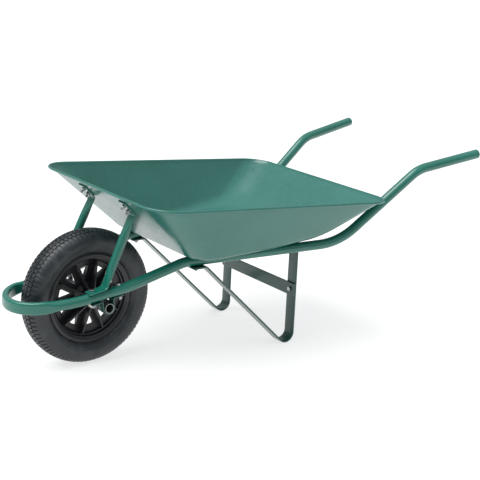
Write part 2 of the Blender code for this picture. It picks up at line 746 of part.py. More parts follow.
tube_outside = [(INNER_TUBE_MIDDLE + INNER_TUBE_TALL * math.cos(a), INNER_TUBE_WIDE * math.sin(a))
                for a in (-2 * math.pi * k / INNER_TUBE_SIDES for k in range(INNER_TUBE_SIDES))]
tube_inside = [(INNER_TUBE_MIDDLE + (r - INNER_TUBE_MIDDLE) * INNER_TUBE_HOLLOW, h * INNER_TUBE_HOLLOW)
               for r, h in tube_outside[::-1]]
inner_tube = turned("inner_tube", tube_outside, AXLE, (0, 1, 0), TUBE_RUBBER, steps=INNER_TUBE_STEPS)
inner_tube = apply_modifiers(inner_tube)
hollow = apply_modifiers(turned("hollow", tube_inside[::-1], AXLE, (0, 1, 0), None, steps=INNER_TUBE_STEPS))
valve_foot = in_wheel(VALVE_INNER, VALVE_TURN, VALVE_SIDE)
valve_head = in_wheel(VALVE_OUTER, VALVE_TURN, VALVE_SIDE)
valve_out = (valve_head - valve_foot).normalized()
inner_tube = combine(inner_tube, hollow, "DIFFERENCE")
inner_tube = combine(inner_tube, cylinder("drill", VALVE_RADIUS + GAP, valve_foot, valve_head))
valve_guide = in_wheel(VALVE_GUIDE, VALVE_TURN, VALVE_SIDE)
rim = combine(rim, cylinder("drill", VALVE_RADIUS + GAP, valve_guide, valve_head))
stem_end = valve_head - valve_out * VALVE_RADIUS
cylinder("valve_stem", VALVE_RADIUS, valve_foot, stem_end, BRASS, collection=parts)
cap_end = valve_foot - valve_out * GAP
cap_start = cap_end - valve_out * VALVE_CAP
cylinder("valve_cap", VALVE_CAP_RADIUS, cap_start, cap_end, TUBE_RUBBER, collection=parts)

for side_name, side in SIDES:
    inner_end, outer_end = HUB_HALF - BUSH_LENGTH, HUB_HALF + GAP + BUSH_FLANGE
    turned("wheel_bush_" + side_name, [(BUSH_FLANGE_RADIUS, outer_end), (BUSH_FLANGE_RADIUS, HUB_HALF + GAP),
                                       (BUSH_RADIUS, HUB_HALF + GAP), (BUSH_RADIUS, inner_end),
                                       (BUSH_BORE, inner_end), (BUSH_BORE, outer_end)],
           AXLE, (0, side, 0), BUSH, steps=SLEEVE_STEPS)


# ---------------------------------------------------------------- legs and their brace

LIMB_X = AXLE_X + LEG_BACK
foot_middle = behind((LEG_BACK - FOOT_BEND, 0, FOOT_BEND + STRAP / 2))
for side_name, side in SIDES:
    tab = []
    for distance in (LEG_TAB_FRONT, LEG_TAB_KNEE):
        centre, along = tube_at(distance, side)
        tab.append(Vector((centre.x, 0, centre.z - TUBE_RADIUS - GAP - STRAP / 2)))
    toward = foot_middle - tab[1]
    slant = math.asin(FOOT_BEND / toward.length) + math.atan2(-toward.z, toward.x)
    corner = Vector((LIMB_X, 0, tab[1].z - (LIMB_X - tab[1].x) * math.tan(slant)))
    top = []
    for distance in (LEG_BACK, LEG_BACK - LEG_TOP_TAB):
        top.append(behind((distance, 0, floor_height(distance) - SHEET - GAP - STRAP / 2)))
    bent = rounded((*tab, corner, *top), (0, LEG_TAB_BEND, FOOT_BEND, LEG_TOP_BEND, 0), STRAP_BEND_STEPS)
    leg = strap("leg_" + side_name, bent, STRAP_WIDTH, STRAP, side * LEG_SIDE, GREEN)
    drill(leg, [(tube_at(FRONT_TRAY_BOLT, side)[0] - FLOOR_UP * TUBE_RADIUS, FLOOR_UP),
                (behind((REAR_TRAY_BOLT, side * LEG_SIDE, floor_height(REAR_TRAY_BOLT))), FLOOR_UP),
                (Vector((LIMB_X, side * LEG_SIDE, BRACE_HEIGHT)), (1, 0, 0))])

brace_x = LIMB_X - STRAP - GAP
brace_size = (STRAP, 2 * LEG_SIDE + STRAP_WIDTH, STRAP_WIDTH, 1)
shape = bmesh.new()
place = Matrix.Translation((brace_x, 0, BRACE_HEIGHT)) @ Matrix.Diagonal(brace_size)
bmesh.ops.create_cube(shape, size=1.0, matrix=place)
brace = from_bmesh("leg_brace", shape, GREEN, smooth=False)
brace = drill(brace, [(Vector((brace_x, side * LEG_SIDE, BRACE_HEIGHT)), (1, 0, 0))
                      for side_name, side in SIDES])
# cut its faces beside the holes, so that the middle is clear of the bolts
shape = bmesh.new()
shape.from_mesh(brace.data)
for side_name, side in SIDES:
    whole = shape.verts[:] + shape.edges[:] + shape.faces[:]
    bmesh.ops.bisect_plane(shape, geom=whole, plane_co=(0, side * BRACE_CLEAR, 0), plane_no=(0, 1, 0))
shape.to_mesh(brace.data)
shape.free()


# ---------------------------------------------------------------- bolts and nuts

for side_name, side in SIDES:
    for row, along in zip(("lower", "upper"), STAY_BOLTS):
        seat = panel_point(along, -GAP, side * STAY_TOP_SIDE)
        carriage_bolt("tray_front_bolt_" + row + "_" + side_name, seat, PANEL_OUT, STAY_BOLT_LENGTH)
        seat = panel_point(along, SHEET + 2 * GAP + 2 * STAY_THIN, side * STAY_TOP_SIDE)
        nut("tray_front_nut_" + row + "_" + side_name, seat, PANEL_OUT)

    tube_middle = tube_at(FRONT_TRAY_BOLT, side)[0]
    floor_middle = behind((REAR_TRAY_BOLT, side * LEG_SIDE, floor_height(REAR_TRAY_BOLT)))
    front = (tube_middle + FLOOR_UP * (TUBE_RADIUS + 3 * GAP + SHEET),
             tube_middle - FLOOR_UP * (TUBE_RADIUS + 2 * GAP + STRAP))
    rear = (floor_middle + FLOOR_UP * GAP, floor_middle - FLOOR_UP * (SHEET + 2 * GAP + STRAP))
    for row, (seat, under) in (("front", front), ("rear", rear)):
        length = (seat - under).length + NUT_HEIGHT + BOLT_TAIL
        carriage_bolt("tray_floor_bolt_" + row + "_" + side_name, seat, -FLOOR_UP, length)
        nut("tray_floor_nut_" + row + "_" + side_name, under, -FLOOR_UP)

    for row, distance in (("front", SADDLE_FRONT_BOLT), ("rear", SADDLE_REAR_BOLT)):
        centre, up = top_of_tube(distance, side)
        tab = 2 * STAY_THIN + GAP if row == "front" else 0.0
        seat = centre + up * (TUBE_RADIUS + GAP + tab)
        under = centre - up * (TUBE_RADIUS + 2 * GAP + SADDLE)
        length = (seat - under).length + NUT_HEIGHT + BOLT_TAIL
        hex_bolt("axle_bolt_" + row + "_" + side_name, seat, -up, length)
        nut("axle_nut_" + row + "_" + side_name, under, -up)

    seat = Vector((brace_x - STRAP / 2 - GAP, side * LEG_SIDE, BRACE_HEIGHT))
    under = Vector((LIMB_X + STRAP / 2, side * LEG_SIDE, BRACE_HEIGHT))
    hex_bolt("brace_bolt_" + side_name, seat, (1, 0, 0), (under - seat).length + NUT_HEIGHT + BOLT_TAIL)
    nut("brace_nut_" + side_name, under, (1, 0, 0))
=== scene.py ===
"""Builder's wheelbarrow: a pressed steel tray on a frame bent from one tube, with a pneumatic wheel.

+X points back to the handles, +Y to the right-hand side of someone pushing, +Z up, in metres.
"""
import math

import bmesh
import bpy
from mathutils import Matrix, Vector


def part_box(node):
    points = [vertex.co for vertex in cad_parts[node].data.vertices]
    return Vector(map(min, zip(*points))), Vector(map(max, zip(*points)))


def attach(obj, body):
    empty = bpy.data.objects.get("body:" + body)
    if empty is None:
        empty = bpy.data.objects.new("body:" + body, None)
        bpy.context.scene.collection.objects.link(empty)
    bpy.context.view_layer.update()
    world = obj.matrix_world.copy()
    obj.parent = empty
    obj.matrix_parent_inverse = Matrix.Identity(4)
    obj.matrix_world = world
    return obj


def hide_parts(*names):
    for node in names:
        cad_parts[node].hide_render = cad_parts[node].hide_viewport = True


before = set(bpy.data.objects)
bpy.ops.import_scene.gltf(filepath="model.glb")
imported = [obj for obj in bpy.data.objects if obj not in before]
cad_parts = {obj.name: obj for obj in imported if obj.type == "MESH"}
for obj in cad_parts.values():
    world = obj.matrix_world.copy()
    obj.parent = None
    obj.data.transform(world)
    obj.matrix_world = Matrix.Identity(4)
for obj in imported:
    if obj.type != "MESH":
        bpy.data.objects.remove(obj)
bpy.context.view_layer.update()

# ---------------------------------------------------------------- floor, light and camera
# The barrow stands on a plain pale floor under one wide soft light and a sky that is brightest overhead.
# The camera looks at it from ahead of the wheel, on the left. Places are measured back from the axle.

axle_low, axle_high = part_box("axle_tube")
AXLE = (axle_low + axle_high) / 2


def behind(back, across, up):
    """A point given by its distance back from the axle, out to the right, and up from the ground."""
    return Vector((AXLE.x + back, across, up))


class Value:
    """A number worked out over a surface: sums on it add Math nodes to its finish."""

    def __init__(self, finish, socket):
        self.finish, self.socket = finish, socket

    def worked(self, operation, *terms):
        return self.finish.node("ShaderNodeMath", {"operation": operation}, dict(enumerate(terms)))

    def __add__(self, other):
        return self.worked("ADD", self, other)

    def __sub__(self, other):
        return self.worked("SUBTRACT", self, other)

    def __rsub__(self, other):
        return self.worked("SUBTRACT", other, self)

    def __mul__(self, other):
        return self.worked("MULTIPLY", self, other)

    __radd__ = __add__
    __rmul__ = __mul__


class Finish:
    """A material being made, with the Principled BSDF that shows it."""

    def __init__(self, name, colour, roughness, metallic=0.0):
        self.material = bpy.data.materials.new(name)
        self.material.use_nodes = True
        self.tree = self.material.node_tree
        self.shader = self.tree.nodes["Principled BSDF"]
        self.show({"Base Color": (*colour, 1.0), "Roughness": roughness, "Metallic": metallic})

    def feed(self, socket, value):
        if isinstance(value, Value):
            self.tree.links.new(value.socket, socket)
        else:
            socket.default_value = value

    def node(self, kind, settings, inputs, output=0):
        """Adds a node: its settings first, then the values or links of its sockets."""
        made = self.tree.nodes.new(kind)
        for key, value in settings.items():
            setattr(made, key, value)
        for key, value in inputs.items():
            self.feed(made.inputs[key], value)
        return Value(self, made.outputs[output])

    def show(self, inputs):
        for key, value in inputs.items():
            self.feed(self.shader.inputs[key], value)

    def place(self, stretch=(1, 1, 1)):
        """Where a point is on its piece, in metres, stretched along the axes for grain with a direction."""
        point = self.node("ShaderNodeTexCoord", {}, {}, "Object")
        return self.node("ShaderNodeMapping", {}, {"Vector": point, "Scale": stretch})

    def noise(self, place, scale, detail=2.0):
        return self.node("ShaderNodeTexNoise", {}, {"Vector": place, "Scale": scale, "Detail": detail})

    def between(self, value, low, high):
        """0 below low, 1 above high, and smooth in between."""
        limits = {"Value": value, "From Min": low, "From Max": high}
        return self.node("ShaderNodeMapRange", {"interpolation_type": "SMOOTHSTEP"}, limits)

    def mixed(self, share, first, second):
        colours = {0: share, 6: first, 7: second}
        return self.node("ShaderNodeMix", {"data_type": "RGBA"}, colours, 2)

    def bumped(self, height, distance, strength=1.0):
        sockets = {"Height": height, "Distance": distance, "Strength": strength}
        return self.node("ShaderNodeBump", {}, sockets)


def mesh_object(name, shape, finish, sharp=35):
    """An object of a bmesh with its faces pointing out, smooth but for edges sharper than an angle."""
    bmesh.ops.recalc_face_normals(shape, faces=shape.faces)
    mesh = bpy.data.meshes.new(name)
    shape.to_mesh(mesh)
    shape.free()
    mesh.shade_smooth()
    mesh.set_sharp_from_angle(angle=math.radians(sharp))
    mesh.materials.append(finish.material)
    made = bpy.data.objects.new(name, mesh)
    bpy.context.scene.collection.objects.link(made)
    return made


FLOOR_HALF = 40.0
FLOOR_DROP = 0.0005
HORIZON = 0.22
ZENITH = 0.85
SKY_RANGE = (0.05, 0.80)

floor_paint = Finish("studio_floor", (0.36, 0.36, 0.36), 0.9)
grain = floor_paint.noise(floor_paint.place(), 3.0)
floor_paint.show({"Base Color": floor_paint.mixed(grain, (0.35, 0.35, 0.35, 1), (0.37, 0.37, 0.37, 1)),
                  "Emission Color": (1, 1, 1, 1), "Emission Strength": 0.70})
shape = bmesh.new()
bmesh.ops.create_grid(shape, x_segments=4, y_segments=4, size=FLOOR_HALF)
floor = mesh_object("studio_floor", shape, floor_paint)
floor.location.z = -FLOOR_DROP

sky = bpy.data.worlds.new("studio")
bpy.context.scene.world = sky
sky.use_nodes = True
background = sky.node_tree.nodes["Background"]
background.inputs["Color"].default_value = (0.93, 0.97, 1.0, 1)
direction = sky.node_tree.nodes.new("ShaderNodeTexCoord")
split = sky.node_tree.nodes.new("ShaderNodeSeparateXYZ")
shade = sky.node_tree.nodes.new("ShaderNodeMapRange")
for key, value in zip(("From Min", "From Max", "To Min", "To Max"), (*SKY_RANGE, HORIZON, ZENITH)):
    shade.inputs[key].default_value = value
for output, socket in ((direction.outputs["Generated"], split.inputs[0]),
                       (split.outputs["Z"], shade.inputs["Value"]),
                       (shade.outputs[0], background.inputs["Strength"])):
    sky.node_tree.links.new(output, socket)

lamp = bpy.data.lights.new("ceiling_light", "SUN")
lamp.energy = 3.0
lamp.angle = math.radians(50)
ceiling = bpy.data.objects.new("ceiling_light", lamp)
ceiling.rotation_euler = Vector((-0.5, 0.1, 1.0)).to_track_quat("Z", "Y").to_euler()
bpy.context.scene.collection.objects.link(ceiling)

azimuth, pitch, roll = (math.radians(angle) for angle in (-36.0, 16.1, 2.3))
toward = Vector((math.sin(azimuth) * math.cos(pitch), -math.cos(azimuth) * math.cos(pitch), math.sin(pitch)))
level = Vector((math.cos(azimuth), math.sin(azimuth), 0))
rise = toward.cross(level)
right = level * math.cos(roll) + rise * math.sin(roll)
upward = rise * math.cos(roll) - level * math.sin(roll)
lens = bpy.data.cameras.new("camera")
lens.lens = 88.5
lens.shift_x = 0.057
lens.shift_y = 0.001
camera = bpy.data.objects.new("camera", lens)
camera.matrix_world = Matrix.Translation(behind(-1.6127, -2.8338, 1.3151)) @ Matrix(
    (right, upward, toward)).transposed().to_4x4()
bpy.context.scene.collection.objects.link(camera)
bpy.context.scene.camera = camera
bpy.context.scene.view_settings.view_transform = "Standard"


# ---------------------------------------------------------------- frame tube
# One 30 mm steel tube runs from handle to handle, round a loop in front of the wheel where it is
# pressed flat, bent cold on formers and dipped in green enamel.

TUBE_RADIUS = 0.015
HANDLE_END = (1.257, 0.307, 0.563)
TUBE_CORNERS = (HANDLE_END, (1.029, 0.278, 0.528), (0.752, 0.238, 0.319), (0.235, 0.159, 0.3095),
                (0.060, 0.129, 0.252), (-0.090, 0.113, 0.227), (-0.2448, 0.081, 0.214))
TUBE_BENDS = (0, 0.12, 0.21, 0.12, 0.30, 0.50)
FLAT_HEIGHT = 0.018
FLAT_THICKNESS = 0.010
FLAT_STARTS = -0.145
FLAT_ENDS = -0.185
SIDES = (("left", -1), ("right", 1))


def enamel(name, colour, gloss=0.30):
    """Green enamel over steel: slightly uneven in colour, with the fine ripple of dipped paint."""
    paint = Finish(name, colour, gloss)
    place = paint.place()
    cloud = paint.between(paint.noise(place, 7.0, 3.0), 0.35, 0.65)
    speck = paint.between(paint.noise(place, 260.0, 2.0), 0.62, 0.74)
    ripple = paint.noise(place, 420.0, 1.0)
    light = tuple(part * 1.16 + 0.003 for part in colour)
    tint = paint.mixed(cloud, (*colour, 1), (*light, 1))
    paint.show({"Base Color": paint.mixed(speck * 0.18, tint, (0.05, 0.20, 0.16, 1)),
                "Roughness": cloud * 0.06 + speck * 0.10 + (gloss - 0.03),
                "Coat Weight": 0.35, "Coat Roughness": 0.12,
                "Normal": paint.bumped(ripple, 0.00025)})
    return paint


def rounded(corners, radii, steps, closed=False):
    """A line through corners, each turned into an arc of its radius in its own plane."""
    points = []
    count = len(corners)
    for i, corner in enumerate(corners):
        corner = Vector(corner)
        if not closed and i in (0, count - 1):
            points.append(corner)
            continue
        back = (Vector(corners[i - 1]) - corner).normalized()
        ahead = (Vector(corners[(i + 1) % count]) - corner).normalized()
        half = back.angle(ahead) / 2
        reach = radii[i] / math.tan(half)
        centre = corner + (back + ahead).normalized() * radii[i] / math.sin(half)
        first = corner + back * reach - centre
        last = corner + ahead * reach - centre
        sweep = first.angle(last)
        for step in range(steps + 1):
            share = step / steps
            turn = first * math.sin((1 - share) * sweep) + last * math.sin(share * sweep)
            points.append(centre + turn / math.sin(sweep))
    return points


def smooth(value):
    value = min(max(value, 0.0), 1.0)
    return value * value * (3 - 2 * value)


def blend(low, high, share):
    return low + (high - low) * share


def evened(path, spacing):
    """The same line with points added, so that no two are further apart than a spacing."""
    points = []
    for here, there in zip(path, path[1:]):
        count = max(1, math.ceil((there - here).length / spacing))
        points += [here.lerp(there, k / count) for k in range(count)]
    return points + [path[-1]]


def oval_ring(half_width, half_height, squareness, count):
    """An outline between a circle and a rounded rectangle, as (across, up) pairs."""
    ring = []
    for k in range(count):
        angle = 2 * math.pi * (k + 0.5) / count
        c, s = math.cos(angle), math.sin(angle)
        ring.append((math.copysign(abs(c) ** (2 / squareness), c) * half_width,
                     math.copysign(abs(s) ** (2 / squareness), s) * half_height))
    return ring


def level_axes(ahead):
    across = ahead.cross(Vector((0, 0, 1))).normalized()
    return across, across.cross(ahead).normalized()


def crosswise_axes(ahead):
    across = (Vector((0, 1, 0)) - ahead * ahead.y).normalized()
    return across, across.cross(ahead).normalized()


def swept(path, rings, axes):
    """A solid whose outline at each point of a path is a ring of (across, up) pairs, closed at both ends."""
    shape = bmesh.new()
    loops = []
    for i, (point, ring) in enumerate(zip(path, rings)):
        ahead = (path[min(i + 1, len(path) - 1)] - path[max(i - 1, 0)]).normalized()
        across, up = axes(ahead)
        loops.append([shape.verts.new(point + across * a + up * u) for a, u in ring])
    for here, there in zip(loops, loops[1:]):
        for k in range(len(here)):
            n = (k + 1) % len(here)
            shape.faces.new((here[k], here[n], there[n], there[k]))
    shape.faces.new(loops[0])
    shape.faces.new(loops[-1][::-1])
    return shape


def fitted(made, body, slot, *nodes):
    """Puts a piece on its body and hides the nodes that it stands for; its slot is not used."""
    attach(made, body)
    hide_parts(*nodes)
    return made


def tube_side(side):
    """The tube's centreline from one handle's end to the middle of the nose."""
    corners = [behind(back, side * out, up) for back, out, up in TUBE_CORNERS]
    nose = TUBE_CORNERS[-1]
    corners.append(behind(nose[0], 0.0, nose[2]))
    leg = Vector(TUBE_CORNERS[-2]) - Vector(nose)
    nose_radius = nose[1] * math.tan(leg.angle(Vector((0, -1, 0))) / 2)
    return rounded(corners, TUBE_BENDS + (nose_radius, 0), 14)[:-1]


def tube_at(back, side):
    """The tube's centre at a distance behind the axle, the way it runs, and the way up from it."""
    path = tube_side(side)
    for rear, front in zip(path, path[1:]):
        if front.x <= AXLE.x + back <= rear.x:
            along = (rear - front).normalized()
            share = (AXLE.x + back - front.x) / (rear.x - front.x)
            return front.lerp(rear, share), along, Vector((-along.z, 0, along.x)).normalized()
    raise ValueError("the tube doesn't reach there")


def tube_ring(point):
    flat = smooth((FLAT_STARTS - (point.x - AXLE.x)) / (FLAT_STARTS - FLAT_ENDS))
    return oval_ring(blend(TUBE_RADIUS, FLAT_THICKNESS, flat), blend(TUBE_RADIUS, FLAT_HEIGHT, flat),
                      2.0 + 1.4 * flat, 40)


green = enamel("green_enamel", (0.005, 0.118, 0.086), 0.24)
path = evened(tube_side(-1) + tube_side(1)[-2::-1], 0.012)
frame_tube = mesh_object("barrow_frame_tube", swept(path, map(tube_ring, path), level_axes), green)
fitted(frame_tube, "barrow", "green_paint", "frame_tube")


# ---------------------------------------------------------------- handle ends
# Each handle is closed by a shallow domed end, welded round and painted with the tube.

DOME = 0.0055


def turned(profile, centre, axis, steps):
    """A closed outline of (radius, height) points turned about an axis."""
    shape = bmesh.new()
    facing = Vector((0, 0, 1)).rotation_difference(Vector(axis)).to_matrix()
    columns = []
    for radius, height in profile:
        count = steps if radius > 0.000001 else 1
        column = []
        for k in range(count):
            turn = 2 * math.pi * k / steps
            at = Vector((radius * math.cos(turn), radius * math.sin(turn), height))
            column.append(shape.verts.new(centre + facing @ at))
        columns.append(column * (steps // count))
    for here, there in zip(columns, columns[1:] + columns[:1]):
        for k in range(steps):
            n = (k + 1) % steps
            corners = list(dict.fromkeys((here[k], here[n], there[n], there[k])))
            if len(corners) > 2:
                shape.faces.new(corners)
    return shape


for side_name, side in SIDES:
    end = behind(HANDLE_END[0], side * HANDLE_END[1], HANDLE_END[2])
    along = (tube_side(side)[0] - tube_side(side)[1]).normalized()
    arc = [math.pi / 2 * k / 8 for k in range(9)]
    profile = [(TUBE_RADIUS * math.sin(a), 0.0002 + DOME * math.cos(a)) for a in arc]
    profile += [(TUBE_RADIUS, -0.001), (0.0, -0.001)]
    dome = mesh_object("barrow_handle_end_" + side_name, turned(profile, end, along, 40), green)
    fitted(dome, "barrow", "green_paint", "handle_plug_" + side_name)


# ---------------------------------------------------------------- tray
# The tray is pressed from one 1.2 mm sheet, with a flat floor, drawn corners and a rim rolled outward
# into a bead, and enamelled all over.

SHEET = 0.0012
RIM_FRONT = (0.029, 0.335, 0.523)
RIM_REAR = (0.869, 0.333, 0.458)
RIM_FRONT_CORNER = 0.085
RIM_REAR_CORNER = 0.070
FLOOR_FRONT = (0.232, 0.240)
FLOOR_REAR = (0.700, 0.242)
FLOOR_FRONT_CORNER = 0.065
FLOOR_REAR_CORNER = 0.090
FLOOR_BEND_FRONT = 0.020
FLOOR_BEND_REAR = 0.085
BEAD = 0.0042
BEAD_OUT = 0.0048
BEAD_DOWN = 0.0036
CORNER_STEPS = 18
SIDE_STEPS = 14


def rim_height(back):
    return blend(RIM_FRONT[2], RIM_REAR[2], (back - RIM_FRONT[0]) / (RIM_REAR[0] - RIM_FRONT[0]))


def floor_height(back):
    """The top of the tray's floor, whose sheet lies on the frame's two long runs."""
    front, rear = TUBE_CORNERS[3], TUBE_CORNERS[2]
    run = blend(front[2], rear[2], (back - front[0]) / (rear[0] - front[0]))
    return run + TUBE_RADIUS + 0.0003 + SHEET


def outline(front, rear, front_corner, rear_corner):
    """A rounded outline seen from above, with the same number of points whatever its size."""
    corners = [(rear[0], rear[1], 0), (front[0], front[1], 0),
               (front[0], -front[1], 0), (rear[0], -rear[1], 0)]
    arcs = rounded(corners, (rear_corner, front_corner, front_corner, rear_corner), CORNER_STEPS, closed=True)
    points = []
    for i, point in enumerate(arcs):
        points.append(point)
        if i % (CORNER_STEPS + 1) == CORNER_STEPS:
            ahead = arcs[(i + 1) % len(arcs)]
            points += [point.lerp(ahead, k / SIDE_STEPS) for k in range(1, SIDE_STEPS)]
    return points


def outward(points):
    """The level direction out of an outline at each of its points."""
    ways = []
    for i in range(len(points)):
        along = (points[(i + 1) % len(points)] - points[i - 1]).normalized()
        ways.append(Vector((along.y, -along.x, 0)))
    return ways


def tray_rings():
    """Rings of points from the curled edge of the bead, over the rim, down the wall and over the floor."""
    rim = outline(RIM_FRONT[:2], RIM_REAR[:2], RIM_FRONT_CORNER, RIM_REAR_CORNER)
    knuckle = outline(FLOOR_FRONT, FLOOR_REAR, FLOOR_FRONT_CORNER, FLOOR_REAR_CORNER)
    rim_out, knuckle_out = outward(rim), outward(knuckle)
    rings = []
    for step in range(15):
        turn = math.radians(blend(-130, 172, step / 14))
        reach, rise = BEAD_OUT + BEAD * math.cos(turn), BEAD * math.sin(turn) - BEAD_DOWN
        ring = [point + out * reach for point, out in zip(rim, rim_out)]
        rings.append([Vector((at.x, at.y, rim_height(at.x) + rise)) for at in ring])
    top_ring = rings[-1]
    middle = (FLOOR_FRONT[0] + FLOOR_REAR[0]) / 2
    uppers, knees, inners = [], [], []
    for point, out, top in zip(knuckle, knuckle_out, top_ring):
        knee = Vector((point.x, point.y, floor_height(point.x)))
        rearward = smooth((knee.x - middle) / (FLOOR_REAR[0] - middle))
        bend = blend(FLOOR_BEND_FRONT, FLOOR_BEND_REAR, rearward)
        inner = knee - out * bend
        uppers.append(knee + (top - knee).normalized() * bend)
        knees.append(knee)
        inners.append(Vector((inner.x, inner.y, floor_height(inner.x))))
    for step in range(1, 12):
        share = step / 12
        rings.append([top.lerp(upper, share) for top, upper in zip(top_ring, uppers)])
    for step in range(11):
        share = step / 10
        rings.append([upper * (1 - share) ** 2 + knee * 2 * share * (1 - share) + inner * share ** 2
                      for upper, knee, inner in zip(uppers, knees, inners)])
    centre = Vector((middle, 0, floor_height(middle)))
    for share in (0.25, 0.5, 0.75, 0.9):
        rings.append([inner.lerp(centre, share) for inner in inners])
    return rings


def tray_enamel():
    """The tray's enamel: lighter and duller in random patches, where fine dust and drying marks show."""
    paint = Finish("tray_enamel", (0.009, 0.128, 0.100), 0.34)
    place = paint.place()
    cloud = paint.between(paint.noise(place, 4.5, 4.0), 0.30, 0.70)
    mottle = paint.between(paint.noise(place, 60.0, 4.0), 0.35, 0.70)
    speck = paint.between(paint.noise(place, 380.0, 1.0), 0.60, 0.75)
    ripple = paint.noise(place, 300.0, 1.0)
    tint = paint.mixed(cloud, (0.008, 0.120, 0.094, 1), (0.014, 0.144, 0.114, 1))
    tint = paint.mixed(mottle * 0.30, tint, (0.024, 0.160, 0.128, 1))
    paint.show({"Base Color": paint.mixed(speck * 0.18, tint, (0.070, 0.215, 0.180, 1)),
                "Roughness": cloud * 0.05 + mottle * 0.06 + 0.27,
                "Coat Weight": 0.30, "Coat Roughness": 0.15,
                "Normal": paint.bumped(ripple, 0.00025)})
    return paint


shape = bmesh.new()
loops = [[shape.verts.new(behind(*point)) for point in ring] for ring in tray_rings()]
for upper, lower in zip(loops, loops[1:]):
    for i in range(len(upper)):
        n = (i + 1) % len(upper)
        shape.faces.new((upper[i], upper[n], lower[n], lower[i]))
shape.faces.new(loops[-1])
tray = mesh_object("barrow_tray", shape, tray_enamel(), 50)
if tray.data.polygons[-1].normal.z < 0:
    tray.data.flip_normals()
sheet = tray.modifiers.new("sheet", "SOLIDIFY")
sheet.thickness, sheet.offset = SHEET, -1
fitted(tray, "barrow", "green_paint", "tray")


# ---------------------------------------------------------------- front stays
# Two round tubes, pressed flat at both ends, hold the tray's front up off the frame tube. Each is
# bolted down at its foot and has two bolts through the tray's front panel at its top.

STAY_RADIUS = 0.0125
STAY_FLAT = 0.018
STAY_THIN = 0.0025
STAY_TOP_SIDE = 0.113
STAY_FOOT_SIDE = 0.121
STAY_FOOT = (-0.060, -0.008)
STAY_TAB = 0.052
STAY_TAB_CLEAR = 0.028
STAY_PINCH = 0.32
STAY_BEND = 0.014
STAY_BOLT_ROWS = (0.016, 0.038)
GAP = 0.0003

panel_foot = Vector((FLOOR_FRONT[0], 0, floor_height(FLOOR_FRONT[0])))
panel_top = Vector((RIM_FRONT[0], 0, RIM_FRONT[2] - 0.002))
panel_up = (panel_top - panel_foot).normalized()
panel_out = Vector((-panel_up.z, 0, panel_up.x))
knee_along = (panel_top - panel_foot).length - STAY_TAB - STAY_TAB_CLEAR


def panel_point(along, out, across):
    """A point on the tray's front panel: along it from its foot, and out from its inner face."""
    at = panel_foot + panel_up * along + panel_out * out
    return behind(at.x, across, at.z)


def pinched(share):
    """The outline of a stay that is flat at share 0 and round at share 1."""
    share = smooth(share)
    return oval_ring(blend(STAY_FLAT, STAY_RADIUS, share), blend(STAY_THIN, STAY_RADIUS, share),
                      blend(3.4, 2.0, share), 32)


for side_name, side in SIDES:
    foot = []
    for back in STAY_FOOT:
        centre, along, up = tube_at(back, side)
        foot.append(centre + up * (TUBE_RADIUS + GAP + STAY_THIN))
    foot[0].y = foot[1].y = side * STAY_FOOT_SIDE
    out = SHEET + GAP + STAY_THIN
    knee = panel_point(knee_along, out, side * STAY_TOP_SIDE)
    tip = panel_point(knee_along + STAY_TAB, out, side * STAY_TOP_SIDE)
    path = evened(rounded((foot[0], foot[1], knee, tip), (0, STAY_BEND, STAY_BEND, 0), 8), 0.008)
    span = knee - foot[1]
    rings = []
    for point in path:
        share = (point - foot[1]).dot(span) / span.length_squared
        rings.append(pinched(min(share, 1 - share) / STAY_PINCH))
    stay = mesh_object("barrow_front_stay_" + side_name, swept(path, rings, crosswise_axes), green)
    fitted(stay, "barrow", "green_paint", "front_stay_" + side_name)


# ---------------------------------------------------------------- legs and brace
# Each leg is one bar of 40 by 5 mm strip, bent round at the foot and tabbed under the tray at both
# ends, with sheared edges. A straight bar of the same strip is bolted across in front of the two.

STRIP = 0.005
STRIP_WIDTH = 0.040
STRIP_EDGE = 0.0009
LEG_SIDE = 0.168
LEG_BACK = 0.634
FOOT_BEND = 0.0275
LEG_TAB_FRONT = 0.250
LEG_TAB_KNEE = 0.294
LEG_TAB_BEND = 0.010
LEG_TOP_TAB = 0.052
LEG_TOP_BEND = 0.008
BRACE_HEIGHT = 0.168


def strip_ring(width, thickness, edge=STRIP_EDGE):
    """The outline of a flat bar with slightly rounded edges, as (across, up) pairs."""
    ring = []
    for quarter, (x, y) in enumerate(((1, 1), (-1, 1), (-1, -1), (1, -1))):
        middle = (x * (width / 2 - edge), y * (thickness / 2 - edge))
        for step in range(4):
            turn = math.pi / 2 * (quarter + step / 3)
            ring.append((middle[0] + edge * math.cos(turn), middle[1] + edge * math.sin(turn)))
    return ring


def bar(path, width, thickness):
    """A flat bar along a path, drawn in at its very ends so that they are rounded too."""
    ends = [path[0], path[0] + (path[1] - path[0]).normalized() * STRIP_EDGE]
    tail = path[-1] + (path[-2] - path[-1]).normalized() * STRIP_EDGE
    path = ends + path[1:-1] + [tail, path[-1]]
    full = strip_ring(width, thickness)
    small = strip_ring(width - 2 * STRIP_EDGE, thickness - 2 * STRIP_EDGE, STRIP_EDGE / 2)
    return swept(path, [small] + [full] * (len(path) - 2) + [small], crosswise_axes)
